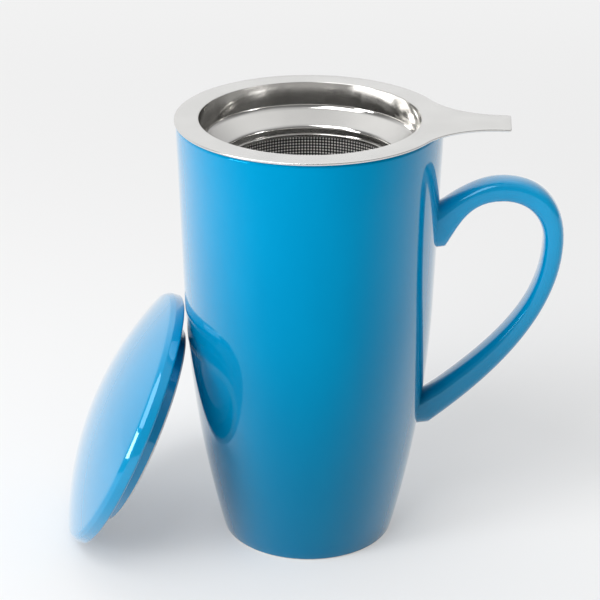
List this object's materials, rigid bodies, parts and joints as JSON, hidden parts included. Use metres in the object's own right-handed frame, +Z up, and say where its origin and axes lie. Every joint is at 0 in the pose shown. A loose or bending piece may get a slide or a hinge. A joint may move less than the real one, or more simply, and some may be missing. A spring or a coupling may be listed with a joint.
{
  "type": "lidded tea mug with infuser",
  "caption": "Tall tapered ceramic mug with a strap handle, a lift-out stainless infuser with a tab on its rim, and a loose domed lid leaning on it.",
  "frame": {"origin": "middle of the mug's foot ring, on the table", "axes": "+Z up along the mug's axis, +X towards the handle, the lid leans on the -X side"},
  "size_m": [0.1626, 0.0904, 0.1438],
  "materials": {
    "glaze": "glossy azure glaze, bare white clay where a piece stands in the kiln",
    "satin_steel": "fine satin",
    "polished_steel": "mirror polish",
    "perforated_steel": "plain mill finish, round holes 0.5 mm across on a 1 mm square grid"
  },
  "bodies": {
    "mug": {"mug_body": "glaze", "mug_handle": "glaze"},
    "infuser": {"infuser_rim_plate": "satin_steel", "infuser_collar": "polished_steel", "infuser_mesh_wall": "perforated_steel", "infuser_mesh_floor": "perforated_steel", "infuser_base_ring": "polished_steel"},
    "lid": {"lid": "glaze"}
  },
  "joints": [
    {"name": "infuser_lift", "type": "slide", "parent": "mug", "child": "infuser", "axis": [0, 0, 1], "range_m": [0, 0.09]},
    {"name": "lid_lift", "type": "slide", "parent": "mug", "child": "lid", "axis": [-0.9023, -0.0631, 0.4266], "range_m": [0, 0.08]}
  ]
}
